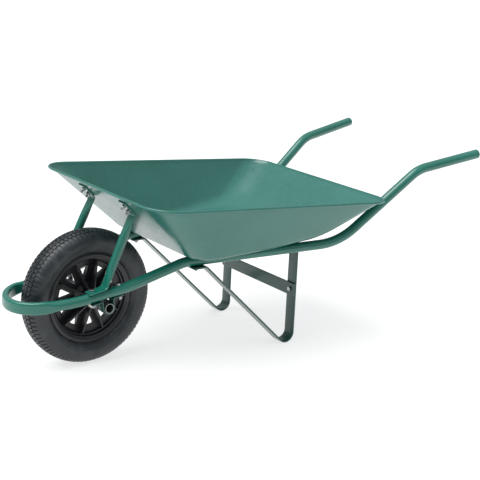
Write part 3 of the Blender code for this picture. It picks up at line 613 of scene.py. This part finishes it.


# The legs, brace and saddles wear the frame's green enamel made much darker: painted shade for their place
# under the tray, not a darker paint.
shade_darkened_green = enamel("strip_enamel_painted_shade", (0.003, 0.050, 0.038), 0.34)
for side_name, side in SIDES:
    tab = []
    for back in (LEG_TAB_FRONT, LEG_TAB_KNEE):
        centre = tube_at(back, side)[0]
        tab.append(Vector((centre.x, side * LEG_SIDE, centre.z - TUBE_RADIUS - GAP - STRIP / 2)))
    foot = behind(LEG_BACK - FOOT_BEND, side * LEG_SIDE, FOOT_BEND + STRIP / 2) - tab[1]
    slant = math.asin(FOOT_BEND / foot.length) + math.atan2(-foot.z, foot.x)
    limb = behind(LEG_BACK, side * LEG_SIDE, 0)
    corner = Vector((limb.x, limb.y, tab[1].z - (limb.x - tab[1].x) * math.tan(slant)))
    top = [behind(back, limb.y, floor_height(back) - SHEET - GAP - STRIP / 2)
           for back in (LEG_BACK, LEG_BACK - LEG_TOP_TAB)]
    path = rounded((*tab, corner, *top), (0, LEG_TAB_BEND, FOOT_BEND, LEG_TOP_BEND, 0), 12)
    leg = mesh_object("barrow_leg_" + side_name, bar(path, STRIP_WIDTH, STRIP), shade_darkened_green, 50)
    fitted(leg, "barrow", "green_paint", "leg_" + side_name)

brace_low, brace_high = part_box("leg_brace")
brace_middle = (brace_low + brace_high) / 2
ends = [Vector((brace_middle.x, y, brace_middle.z)) for y in (brace_low.y, 0.0, brace_high.y)]
full = [(u, a) for a, u in strip_ring(STRIP_WIDTH, STRIP)]
brace = mesh_object("barrow_leg_brace", swept(ends, [full] * 3, level_axes), shade_darkened_green, 50)
fitted(brace, "barrow", "green_paint", "leg_brace")


# ---------------------------------------------------------------- axle, saddles and spacers
# A steel tube is the fixed axle. A bent strap under each side of the frame tube carries it, and a
# sleeve on each side keeps the wheel in the middle.

SADDLE = 0.004
SADDLE_WIDTH = 0.026
SADDLE_BEND = 0.005
SADDLE_BOLTS = (-0.044, 0.034)
SADDLE_EAR = 0.012
AXLE_RADIUS = 0.015
AXLE_BORE = 0.012
SLEEVE_PLAY = 0.0005


def metal(name, colour, roughness):
    """Steel with faint turning marks and duller patches where it has been handled."""
    steel = Finish(name, colour, roughness, 1.0)
    place = steel.place()
    marks = steel.noise(steel.place((1, 30, 1)), 90.0, 2.0)
    patch = steel.between(steel.noise(place, 45.0, 3.0), 0.4, 0.7)
    dull = tuple(part * 0.72 for part in colour)
    steel.show({"Base Color": steel.mixed(patch * 0.6, (*colour, 1), (*dull, 1)),
                "Roughness": patch * 0.15 + (roughness - 0.05),
                "Normal": steel.bumped(marks, 0.0001)})
    return steel


def edged(profile, radius=0.0006, steps=3):
    """A closed outline of (radius, height) points with its corners rounded."""
    corners = [(r, h, 0) for r, h in profile]
    return [(at.x, at.y) for at in rounded(corners, [radius] * len(corners), steps, closed=True)]


axle_steel = metal("axle_steel", (0.22, 0.235, 0.23), 0.42)
half = axle_high.y - AXLE.y
profile = edged(((AXLE_RADIUS, half), (AXLE_RADIUS, -half), (AXLE_BORE, -half), (AXLE_BORE, half)))
axle = mesh_object("barrow_axle_tube", turned(profile, AXLE, (0, 1, 0), 56), axle_steel)
fitted(axle, "barrow", "axle_steel", "axle_tube")

for side_name, side in SIDES:
    low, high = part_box("axle_spacer_" + side_name)
    sleeve, middle = (high.x - low.x) / 2, (low + high) / 2
    half = (high.y - low.y) / 2
    bore = AXLE_RADIUS + SLEEVE_PLAY
    profile = edged(((sleeve, half), (sleeve, -half), (bore, -half), (bore, half)))
    sleeve = turned(profile, middle, (0, 1, 0), 48)
    spacer = mesh_object("barrow_axle_spacer_" + side_name, sleeve, axle_steel)
    fitted(spacer, "barrow", "axle_steel", "axle_spacer_" + side_name)

    low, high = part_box("axle_saddle_" + side_name)
    middle, along, up = tube_at(0.0, side)
    along = Vector((along.x, 0, along.z)).normalized()
    origin = Vector((middle.x, (low.y + high.y) / 2, middle.z))
    drop, shift = -(AXLE - middle).dot(up), (AXLE - middle).dot(along)
    ear = TUBE_RADIUS + GAP + SADDLE / 2
    reach = AXLE_RADIUS + GAP + SADDLE / 2
    bends = ((SADDLE_BOLTS[0] - SADDLE_EAR, ear), (shift - reach, ear), (shift - reach, drop + reach),
             (shift + reach, drop + reach), (shift + reach, ear), (SADDLE_BOLTS[1] + SADDLE_EAR, ear))
    corners = [origin + along * u - up * d for u, d in bends]
    path = rounded(corners, (0, SADDLE_BEND, reach - 0.00001, reach - 0.00001, SADDLE_BEND, 0), 12)
    # The saddle takes the same darkened green: painted shade under the frame tube.
    saddle = mesh_object("barrow_axle_saddle_" + side_name, bar(path, SADDLE_WIDTH, SADDLE), shade_darkened_green, 50)
    fitted(saddle, "barrow", "green_paint", "axle_saddle_" + side_name)


# ---------------------------------------------------------------- wheel rim and bushes
# The rim is moulded in black plastic: a barrel that holds the tyre's beads, a dished web with a
# window between each pair of ribs, and a hub with a nylon bush pressed in from each end.

WINDOWS = 10
RIB_START = 0.1
HUB_RADIUS = 0.027
HUB_HALF = 0.050
BUSH_RADIUS = 0.019
BUSH_BORE = 0.0154
WEB_HALF = 0.003
RIB_THICKNESS = 0.004
RIB_TOP = ((0.024, 0.041), (0.036, 0.0395), (0.108, 0.0250))
WINDOW_REACH = (0.047, 0.092)
WINDOW_SWING = 0.15
WINDOW_CUT = 0.012


def moulded(name, colour, roughness):
    """Moulded plastic with a fine grain and faint flow marks."""
    plastic = Finish(name, colour, roughness)
    place = plastic.place()
    flow = plastic.noise(place, 25.0, 3.0)
    grain = plastic.noise(place, 900.0, 2.0)
    light = tuple(part * 1.5 for part in colour)
    plastic.show({"Base Color": plastic.mixed(flow, (*colour, 1), (*light, 1)),
                  "Roughness": flow * 0.14 + (roughness - 0.07),
                  "Normal": plastic.bumped(grain, 0.00015)})
    return plastic


def in_wheel(radius, turn, across):
    """A point of the wheel: out from the axle, round it, and along it."""
    return AXLE + Vector((radius * math.cos(turn), across, radius * math.sin(turn)))


def prisms(outlines):
    """Several flat outlines, each raised by its own depth, as one bmesh."""
    shape = bmesh.new()
    for points, depth in outlines:
        face = shape.faces.new([shape.verts.new(point) for point in points])
        raised = bmesh.ops.extrude_face_region(shape, geom=[face])
        moved = [item for item in raised["geom"] if isinstance(item, bmesh.types.BMVert)]
        bmesh.ops.translate(shape, verts=moved, vec=depth)
    bmesh.ops.recalc_face_normals(shape, faces=shape.faces)
    return shape


def combined(made, other, operation):
    """Joins or cuts a piece by another, which is used up."""
    step = made.modifiers.new("join", "BOOLEAN")
    step.operation, step.object, step.solver = operation, other, "EXACT"
    mesh = bpy.data.meshes.new_from_object(made.evaluated_get(bpy.context.evaluated_depsgraph_get()))
    made.modifiers.clear()
    made.data = mesh
    mesh.set_sharp_from_angle(angle=math.radians(35))
    bpy.data.objects.remove(other, do_unlink=True)


rim_plastic = moulded("rim_plastic", (0.012, 0.012, 0.014), 0.30)
lower_half = [(0.1130, -0.010), (0.1205, -0.014), (0.1215, -0.0255), (0.1335, -0.0275), (0.1345, -0.0312),
              (0.1290, -0.0330), (0.1250, -0.0318), (0.1215, -0.0285), (0.1180, -0.0270), (0.1160, -0.0180),
              (0.1120, -0.0160), (0.1105, -0.0090), (0.1060, -0.0060), (0.0900, -WEB_HALF),
              (0.0400, -WEB_HALF), (HUB_RADIUS, -0.0100), (HUB_RADIUS, -HUB_HALF),
              (BUSH_RADIUS + GAP, -HUB_HALF)]
profile = edged(lower_half + [(radius, -height) for radius, height in lower_half[::-1]], 0.0008)
rim = mesh_object("barrow_wheel_rim", turned(profile, AXLE, (0, 1, 0), 120), rim_plastic)
ribs, windows = [], []
for k in range(WINDOWS):
    turn = 2 * math.pi * k / WINDOWS + RIB_START
    thick = Vector((-math.sin(turn), 0, math.cos(turn))) * RIB_THICKNESS
    edge = list(RIB_TOP) + [(r, -h) for r, h in RIB_TOP[::-1]]
    points = [in_wheel(r, turn, h) - thick / 2 for r, h in edge]
    ribs.append((points, thick))
    middle = turn + math.pi / WINDOWS
    inner, outer = WINDOW_REACH
    corners = [in_wheel(inner, middle, -WINDOW_CUT), in_wheel(outer, middle - WINDOW_SWING, -WINDOW_CUT),
               in_wheel(outer, middle + WINDOW_SWING, -WINDOW_CUT)]
    through = Vector((0, 2 * WINDOW_CUT, 0))
    windows.append((rounded(corners, (0.002, 0.004, 0.004), 4, closed=True), through))
ribs = mesh_object("ribs", prisms(ribs), rim_plastic)
combined(rim, ribs, "UNION")
combined(rim, mesh_object("windows", prisms(windows), rim_plastic), "DIFFERENCE")
fitted(rim, "wheel", "rim_plastic", "wheel_rim")

bush_nylon = moulded("bush_nylon", (0.62, 0.60, 0.54), 0.5)
for side_name, side in SIDES:
    low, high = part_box("wheel_bush_" + side_name)
    flange = (high.x - low.x) / 2
    ends = sorted((abs(low.y), abs(high.y)))
    lip = HUB_HALF + GAP
    profile = edged(((flange, ends[1]), (flange, lip), (BUSH_RADIUS, lip), (BUSH_RADIUS, ends[0]),
                     (BUSH_BORE, ends[0]), (BUSH_BORE, ends[1])), 0.0004)
    bush = mesh_object("barrow_wheel_bush_" + side_name, turned(profile, AXLE, (0, side, 0), 48), bush_nylon)
    fitted(bush, "wheel", "bush_nylon", "wheel_bush_" + side_name)


# ---------------------------------------------------------------- tyre, inner tube and valve
# A black rubber tyre with three rows of moulded blocks on each side of its crown and a smooth wall
# with two raised rings. Inside it is the air tube, whose brass valve comes out between two ribs.

WALL_LINE = ((0.2000, 0.0), (0.1990, 0.013), (0.1955, 0.026), (0.1880, 0.0365), (0.1760, 0.0432),
             (0.1610, 0.0450), (0.1470, 0.0412), (0.1385, 0.0340), (0.1352, 0.0300))
LINING = ((0.1222, 0.0258), (0.1222, 0.0165), (0.1320, 0.0185), (0.1400, 0.0290), (0.1480, 0.0360),
          (0.1610, 0.0395), (0.1740, 0.0380), (0.1840, 0.0320), (0.1900, 0.0220), (0.1930, 0.0110))
PITCHES = 90
TREAD_DEPTH = 0.0034
BLOCK_ROWS = ((0.0, 0.0072), (0.0102, 0.0222), (0.0252, 0.0425))
GROOVE_SLOPE = 0.0007
GROOVES = (0.0, 0.06, 0.22, 0.28)
SHOULDER_END = 0.049
WALL_RINGS = ((0.0840, 0.0006), (0.0905, 0.0009))
WALL_STEP = 0.0007


def curve_through(points, steps):
    """A smooth line through points, as a list of (distance along, point)."""
    line = [Vector(point) for point in points]
    line = [line[0] * 2 - line[1]] + line + [line[-1] * 2 - line[-2]]
    made = []
    for before, here, there, after in zip(line, line[1:], line[2:], line[3:]):
        for step in range(steps):
            t = step / steps
            made.append((here * 2 + (there - before) * t + (before * 2 - here * 5 + there * 4 - after) * t * t
                         + (here * 3 - before - there * 3 + after) * t ** 3) / 2)
    made.append(line[-2])
    distances = [0.0]
    for here, there in zip(made, made[1:]):
        distances.append(distances[-1] + (there - here).length)
    return list(zip(distances, made))


wall_curve = curve_through(WALL_LINE, 10)


def wall_at(distance):
    """The tyre's outside at a distance from the middle of its crown: its (radius, across) and outward way."""
    for (here, point), (there, following) in zip(wall_curve, wall_curve[1:]):
        if distance <= there:
            break
    at = point.lerp(following, min(1.0, (distance - here) / (there - here)))
    along = (following - point).normalized()
    return at, Vector((along.y, -along.x))


def groove(row, share):
    """How deep the cross groove of a row is at a share of a pitch, from 0 to 1."""
    at = (share + 0.5 * (row % 2)) % 1.0
    if at >= GROOVES[3]:
        return 0.0
    if at < GROOVES[1]:
        return at / GROOVES[1]
    return min(1.0, (GROOVES[3] - at) / (GROOVES[3] - GROOVES[2]))


tread_stations = []
for row, (near, far) in enumerate(BLOCK_ROWS):
    tread_stations += [(near, row, 0.0), ((near + far) / 2, row, 0.0), (far, row, 0.0)]
    if row + 1 < len(BLOCK_ROWS):
        following = BLOCK_ROWS[row + 1][0]
        tread_stations += [(far + GROOVE_SLOPE, row, 1.0), (following - GROOVE_SLOPE, row + 1, 1.0)]


def tread_point(station, turn, share, side):
    distance, row, floor_share = station
    at, out = wall_at(distance)
    taper = 1.0 if row < len(BLOCK_ROWS) - 1 else blend(1.0, 0.55, (distance - BLOCK_ROWS[-1][0]) / 0.0173)
    depth = TREAD_DEPTH * max(floor_share, groove(row + (side > 0), share) * taper)
    at = at - out * depth
    return in_wheel(at.x, turn, side * at.y)


def rubber():
    """Black rubber with a fine moulded grain, and a grey bloom of dust on its wall."""
    tyre_rubber = Finish("tyre_rubber", (0.021, 0.026, 0.030), 0.45)
    place = tyre_rubber.place()
    dust = tyre_rubber.between(tyre_rubber.noise(place, 30.0, 4.0), 0.40, 0.75)
    grain = tyre_rubber.noise(place, 700.0, 3.0)
    tyre_rubber.show({"Base Color": tyre_rubber.mixed(dust * 0.5, (0.014, 0.018, 0.021, 1),
                                                      (0.062, 0.070, 0.075, 1)),
                      "Roughness": dust * 0.20 + 0.34,
                      "Normal": tyre_rubber.bumped(grain, 0.0003)})
    return tyre_rubber


def tyre_shape():
    """The tyre as one closed solid: finely divided over the blocks, and four times coarser on the walls."""
    shape = bmesh.new()
    shares = [share + half for half in (0.0, 0.5) for share in GROOVES]
    fine = [(2 * math.pi * (pitch + share) / PITCHES, share) for pitch in range(PITCHES) for share in shares]
    coarse = [turn for turn, share in fine[::4]]
    wall = [(SHOULDER_END, 0.0)] + [(0.056 + 0.0055 * k, 0.0) for k in range(5)]
    for middle, height in WALL_RINGS:
        wall += [(middle - 2 * WALL_STEP, 0.0), (middle - WALL_STEP, height),
                 (middle + WALL_STEP, height), (middle + 2 * WALL_STEP, 0.0)]
    wall += [(0.0945, 0.0), (wall_curve[-1][0], 0.0)]
    halves = []
    for side in (1, -1):
        stations = tread_stations if side > 0 else tread_stations[1:]
        rows = [[shape.verts.new(tread_point(station, turn, share, side)) for turn, share in fine]
                for station in stations]
        plain = []
        for distance, height in wall:
            at, out = wall_at(distance)
            at = at + out * height
            plain.append([shape.verts.new(in_wheel(at.x, turn, side * at.y)) for turn in coarse])
        for radius, across in LINING:
            plain.append([shape.verts.new(in_wheel(radius, turn, side * across)) for turn in coarse])
        halves.append((rows, plain))

    def joined(here, there):
        for k in range(len(here)):
            n = (k + 1) % len(here)
            shape.faces.new((here[k], here[n], there[n], there[k]))

    for rows, plain in halves:
        for here, there in list(zip(rows, rows[1:])) + list(zip(plain, plain[1:])):
            joined(here, there)
        edge = rows[-1]
        for k in range(len(coarse)):
            n = (k + 1) % len(coarse)
            run = [edge[(4 * k + step) % len(edge)] for step in range(5)]
            shape.faces.new(run + [plain[0][n], plain[0][k]])
    joined(halves[0][0][0], halves[1][0][0])
    joined(halves[0][1][-1], halves[1][1][-1])
    return shape


tyre = mesh_object("barrow_tyre", tyre_shape(), rubber(), 30)
fitted(tyre, "wheel", "tyre_rubber", "tyre")

tube_rubber = moulded("inner_tube_rubber", (0.012, 0.012, 0.012), 0.6)
valve_brass = metal("valve_brass", (0.65, 0.48, 0.20), 0.35)
for node, finish in (("inner_tube", tube_rubber), ("valve_cap", tube_rubber), ("valve_stem", valve_brass)):
    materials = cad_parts[node].data.materials
    materials.clear()
    materials.append(finish.material)


# ---------------------------------------------------------------- bolts and nuts
# M8 zinc-plated fasteners: domed carriage bolts through the tray's sheet, hexagon bolts everywhere
# else, and a chamfered hexagon nut on each, with a few turns of thread showing past it.

THREAD = 0.004
PITCH = 0.00125
HEAD = 0.0075
HEAD_HEIGHT = 0.0053
NUT_HEIGHT = 0.0065
NUT_BORE = 0.0042
DOME_HEAD = 0.0092
DOME_EDGE = 0.0006
DOME_RISE = 0.0036
BOLT_TAIL = 0.004
STAY_BOLT_LENGTH = 0.022
zinc = metal("zinc_plate", (0.36, 0.37, 0.38), 0.26)


def hexagon(centre, axis, height, bore=0.0):
    """A hexagon head or nut, its corners chamfered at both ends: height runs from centre along axis."""
    shape = bmesh.new()
    facing = Vector((0, 0, 1)).rotation_difference(Vector(axis)).to_matrix()
    count = 36
    rings = []
    for level_share, grow in ((0.0, 0.90), (0.12, 1.0), (0.88, 1.0), (1.0, 0.90)):
        ring = []
        for k in range(count):
            turn = 2 * math.pi * k / count
            corner = (turn + math.pi / 6) % (math.pi / 3) - math.pi / 6
            flat = HEAD * math.cos(math.pi / 6) / math.cos(math.pi / 6 - abs(corner))
            radius = min(flat, HEAD * grow)
            at = Vector((radius * math.cos(turn), radius * math.sin(turn), height * level_share))
            ring.append(shape.verts.new(Vector(centre) + facing @ at))
        rings.append(ring)
    if bore:
        for level_share in (1.0, 0.0):
            rings.append([shape.verts.new(Vector(centre) + facing @ Vector(
                (bore * math.cos(2 * math.pi * k / count), bore * math.sin(2 * math.pi * k / count),
                 height * level_share))) for k in range(count)])
        rings.append(rings[0])
    for here, there in zip(rings, rings[1:]):
        for k in range(count):
            n = (k + 1) % count
            shape.faces.new((here[k], here[n], there[n], there[k]))
    if not bore:
        shape.faces.new(rings[0])
        shape.faces.new(rings[-1])
    return shape


def thread_profile(length):
    """The outline of a shank with thread over its last 14 mm, from its start on the axis to its end."""
    plain = max(0.0005, length - 0.014)
    profile = [(0.0, 0.0), (THREAD, 0.0), (THREAD, plain)]
    turns = int((length - plain - 0.001) / PITCH)
    for k in range(turns):
        start = plain + PITCH * k
        profile += [(THREAD - 0.0006, start + PITCH * 0.5), (THREAD, start + PITCH * 0.9)]
    return profile + [(THREAD - 0.0008, length), (0.0, length)]


def add_shank(shape, seat, direction, length):
    """Adds the threaded shank to a head's bmesh, as part of the same piece."""
    shank = turned(thread_profile(length), seat, direction, 20)
    mesh = bpy.data.meshes.new("shank")
    shank.to_mesh(mesh)
    shank.free()
    shape.from_mesh(mesh)
    bpy.data.meshes.remove(mesh)
    return shape


def hex_bolt(node, seat, direction, length):
    head = hexagon(seat - direction * HEAD_HEIGHT, direction, HEAD_HEIGHT)
    made = mesh_object("barrow_" + node, add_shank(head, seat, direction, length), zinc)
    fitted(made, "barrow", "zinc_plate", node)


def carriage_bolt(node, seat, direction, length):
    arc = [math.pi / 2 * k / 6 for k in range(7)]
    dome = [(DOME_HEAD * math.sin(a), -DOME_EDGE - DOME_RISE * math.cos(a)) for a in arc]
    dome += [(DOME_HEAD, 0.0)]
    profile = dome + thread_profile(length)[1:]
    made = mesh_object("barrow_" + node, turned(profile, seat, direction, 24), zinc)
    fitted(made, "barrow", "zinc_plate", node)


def nut(node, seat, direction):
    made = mesh_object("barrow_" + node, hexagon(seat + direction * GAP, direction, NUT_HEIGHT, NUT_BORE), zinc)
    fitted(made, "barrow", "zinc_plate", node)


front, rear = TUBE_CORNERS[3], TUBE_CORNERS[2]
FLOOR_UP = Vector((-(rear[2] - front[2]) / (rear[0] - front[0]), 0, 1)).normalized()
FLOOR_BOLT_FRONT = 0.271
FLOOR_BOLT_REAR = 0.604

for side_name, side in SIDES:
    for row, more in zip(("lower", "upper"), STAY_BOLT_ROWS):
        seat = panel_point(knee_along + more, -GAP, side * STAY_TOP_SIDE)
        carriage_bolt("tray_front_bolt_" + row + "_" + side_name, seat, panel_out, STAY_BOLT_LENGTH)
        seat = panel_point(knee_along + more, SHEET + 2 * GAP + 2 * STAY_THIN, side * STAY_TOP_SIDE)
        nut("tray_front_nut_" + row + "_" + side_name, seat, panel_out)

    middle = tube_at(FLOOR_BOLT_FRONT, side)[0]
    rear_middle = behind(FLOOR_BOLT_REAR, side * LEG_SIDE, floor_height(FLOOR_BOLT_REAR))
    ends = {"front": (middle + FLOOR_UP * (TUBE_RADIUS + 3 * GAP + SHEET),
                      middle - FLOOR_UP * (TUBE_RADIUS + 2 * GAP + STRIP)),
            "rear": (rear_middle + FLOOR_UP * GAP, rear_middle - FLOOR_UP * (SHEET + 2 * GAP + STRIP))}
    for row, (seat, under) in ends.items():
        length = (seat - under).length + NUT_HEIGHT + BOLT_TAIL
        carriage_bolt("tray_floor_bolt_" + row + "_" + side_name, seat, -FLOOR_UP, length)
        nut("tray_floor_nut_" + row + "_" + side_name, under, -FLOOR_UP)

    for row, back in zip(("front", "rear"), SADDLE_BOLTS):
        centre, along, up = tube_at(back, side)
        tab = 2 * STAY_THIN + GAP if row == "front" else 0.0
        seat = centre + up * (TUBE_RADIUS + GAP + tab)
        under = centre - up * (TUBE_RADIUS + 2 * GAP + SADDLE)
        length = (seat - under).length + NUT_HEIGHT + BOLT_TAIL
        hex_bolt("axle_bolt_" + row + "_" + side_name, seat, -up, length)
        nut("axle_nut_" + row + "_" + side_name, under, -up)

    seat = Vector((brace_low.x - GAP, side * LEG_SIDE, BRACE_HEIGHT))
    under = Vector((limb.x + STRIP / 2, side * LEG_SIDE, BRACE_HEIGHT))
    forward = Vector((1, 0, 0))
    hex_bolt("brace_bolt_" + side_name, seat, forward, (under - seat).length + NUT_HEIGHT + BOLT_TAIL)
    nut("brace_nut_" + side_name, under, forward)
